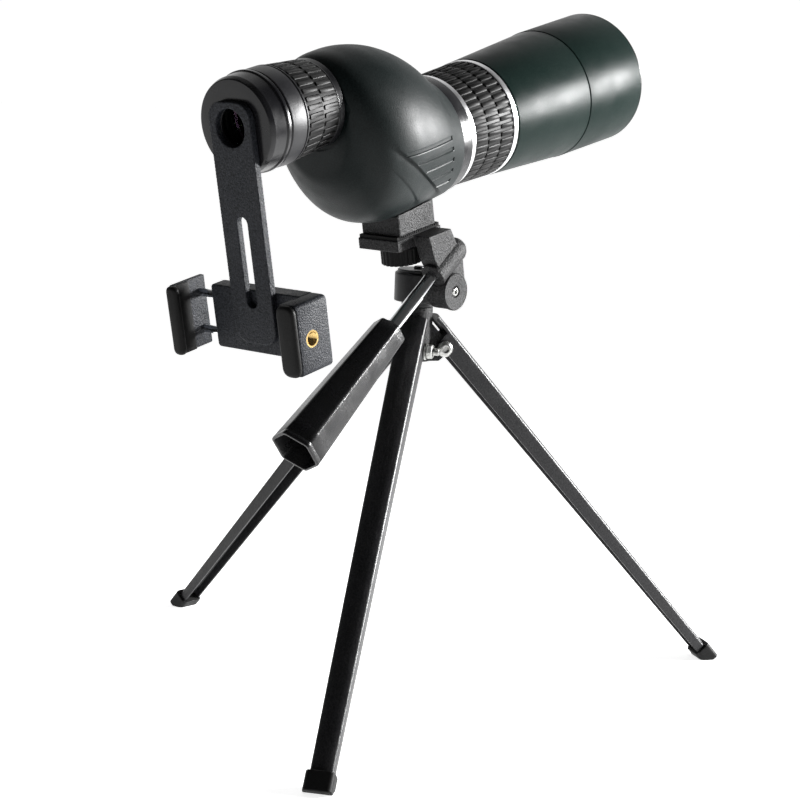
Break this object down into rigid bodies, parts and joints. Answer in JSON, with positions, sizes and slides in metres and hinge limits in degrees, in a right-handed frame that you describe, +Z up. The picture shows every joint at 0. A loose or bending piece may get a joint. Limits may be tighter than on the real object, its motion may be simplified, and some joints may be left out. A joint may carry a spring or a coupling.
{
  "type": "spotting scope",
  "caption": "Straight spotting scope on a folding table tripod with a pan and tilt head, a zoom eyepiece and a phone clamp.",
  "frame": {"origin": "point on the floor under the tripod's pan axis", "axes": "+Z up, +Y the way the scope points, +X the scope's right side"},
  "size_m": [0.2872, 0.3209, 0.3521],
  "materials": {
    "green_armour": "fine grained dark slate green",
    "green_paint": "semi-gloss dark green",
    "satin_aluminium": "bright turned",
    "black_rubber": "moulded",
    "black_plastic": "fine spark texture",
    "black_anodised": "satin black",
    "black_casting": "coarse grained black powder coat",
    "black_powder": "black powder coat",
    "grip_plastic": "moulded, slight grain",
    "chrome": "bright plated",
    "steel": "bright zinc",
    "brass": "turned",
    "optical_glass": "coated"
  },
  "bodies": {
    "tripod": {"tripod_hub": "black_casting", "leg_bolts": "chrome", "leg_washers": "chrome", "leg_nuts": "chrome"},
    "leg_left": {"leg_left": "black_powder", "boot_left": "black_rubber"},
    "leg_near": {"leg_near": "black_powder", "boot_near": "black_rubber"},
    "leg_right": {"leg_right": "black_powder", "boot_right": "black_rubber"},
    "pan_head": {"pan_base": "black_casting", "pan_stud": "steel", "pan_cap": "black_plastic", "pan_screw": "steel"},
    "scope": {"tilt_platform": "black_casting", "platform_pad": "black_rubber", "tilt_axle": "steel", "tilt_disc": "black_casting", "mounting_foot": "black_casting", "foot_insert": "brass", "prism_housing": "green_armour", "prism_rear": "optical_glass", "prism_front": "optical_glass", "prism_plate": "satin_aluminium", "prism_straps": "steel", "core_tube": "black_anodised", "locking_ring": "black_anodised", "front_barrel": "green_paint", "objective_cell": "black_anodised", "flint_lens": "optical_glass", "crown_lens": "optical_glass", "lens_retainer": "black_anodised", "eyepiece_tube": "black_anodised", "eyepiece_sleeve": "black_plastic", "rubber_eyecup": "black_rubber", "field_lens": "optical_glass", "eye_lens": "optical_glass"},
    "focus_ring": {"focus_sleeve": "satin_aluminium", "rear_band": "satin_aluminium", "front_band": "satin_aluminium", "focus_grip": "black_rubber"},
    "focus_carriage": {"focus_carriage": "black_plastic", "focus_lens": "optical_glass"},
    "zoom_ring": {"zoom_ring": "black_anodised", "zoom_grip": "black_rubber"},
    "zoom_carriage": {"zoom_carriage": "black_plastic", "zoom_lens": "optical_glass"},
    "sunshade": {"sunshade": "green_paint"},
    "thumbscrew": {"camera_screw": "steel", "thumbwheel": "black_plastic"},
    "handle": {"handle_rod": "chrome", "handle_grip": "grip_plastic"},
    "adapter": {"adapter_cup": "black_plastic", "adapter_arm": "black_plastic", "clamp_body": "black_plastic", "fixed_jaw_pad": "black_rubber", "clamp_insert": "brass"},
    "sliding_jaw": {"sliding_jaw": "black_plastic", "sliding_jaw_pad": "black_rubber", "guide_rods": "steel"}
  },
  "joints": [
    {"name": "pan", "type": "hinge", "parent": "tripod", "child": "pan_head", "pos_m": [0, 0, 0.2], "axis": [0, 0, 1], "continuous": true},
    {"name": "tilt", "type": "hinge", "parent": "pan_head", "child": "scope", "pos_m": [0, 0, 0.2085], "axis": [1, 0, 0], "range_deg": [-45, 8]},
    {"name": "handle_turn", "type": "hinge", "parent": "scope", "child": "handle", "pos_m": [0.0177, -0.0116, 0.2162], "axis": [0, -0.788, -0.6157], "range_deg": [0, 270]},
    {"name": "thumbscrew_turn", "type": "hinge", "parent": "scope", "child": "thumbscrew", "pos_m": [0, -0.01479, 0.22704], "axis": [0, -0.2079, 0.9781], "continuous": true},
    {"name": "focus_turn", "type": "hinge", "parent": "scope", "child": "focus_ring", "pos_m": [0, 0.02073, 0.29082], "axis": [0, 0.9781, 0.2079], "range_deg": [-150, 150]},
    {"name": "focus_slide", "type": "slide", "parent": "scope", "child": "focus_carriage", "axis": [0, 0.9781, 0.2079], "range_m": [-0.0061, 0.0061]},
    {"name": "zoom_turn", "type": "hinge", "parent": "scope", "child": "zoom_ring", "pos_m": [0, -0.09868, 0.29948], "axis": [0, 0.9781, 0.2079], "range_deg": [-60, 60]},
    {"name": "zoom_slide", "type": "slide", "parent": "scope", "child": "zoom_carriage", "axis": [0, 0.9781, 0.2079], "range_m": [-0.0061, 0.0061]},
    {"name": "sunshade_slide", "type": "slide", "parent": "scope", "child": "sunshade", "axis": [0, 0.9781, 0.2079], "range_m": [0, 0.03]},
    {"name": "adapter_swivel", "type": "hinge", "parent": "scope", "child": "adapter", "pos_m": [0, -0.13096, 0.29262], "axis": [0, 0.9781, 0.2079], "continuous": true},
    {"name": "jaw_slide", "type": "slide", "parent": "adapter", "child": "sliding_jaw", "axis": [1, 0, 0], "range_m": [-0.018, 0.01]},
    {"name": "left_leg_fold", "type": "hinge", "parent": "tripod", "child": "leg_left", "pos_m": [-0.01302, 0.00068, 0.17729], "axis": [-0.0523, -0.9986, 0], "range_deg": [0, 38]},
    {"name": "near_leg_fold", "type": "hinge", "parent": "tripod", "child": "leg_near", "pos_m": [0.00597, -0.01159, 0.17729], "axis": [0.889, 0.4579, 0], "range_deg": [0, 38]},
    {"name": "right_leg_fold", "type": "hinge", "parent": "tripod", "child": "leg_right", "pos_m": [0.0071, 0.01093, 0.17729], "axis": [-0.8387, 0.5446, 0], "range_deg": [0, 38]}
  ],
  "couplings": [
    {"joint": "focus_slide", "follows": "focus_turn", "m_per_rad": 0.0023},
    {"joint": "zoom_slide", "follows": "zoom_turn", "m_per_rad": 0.0057}
  ]
}
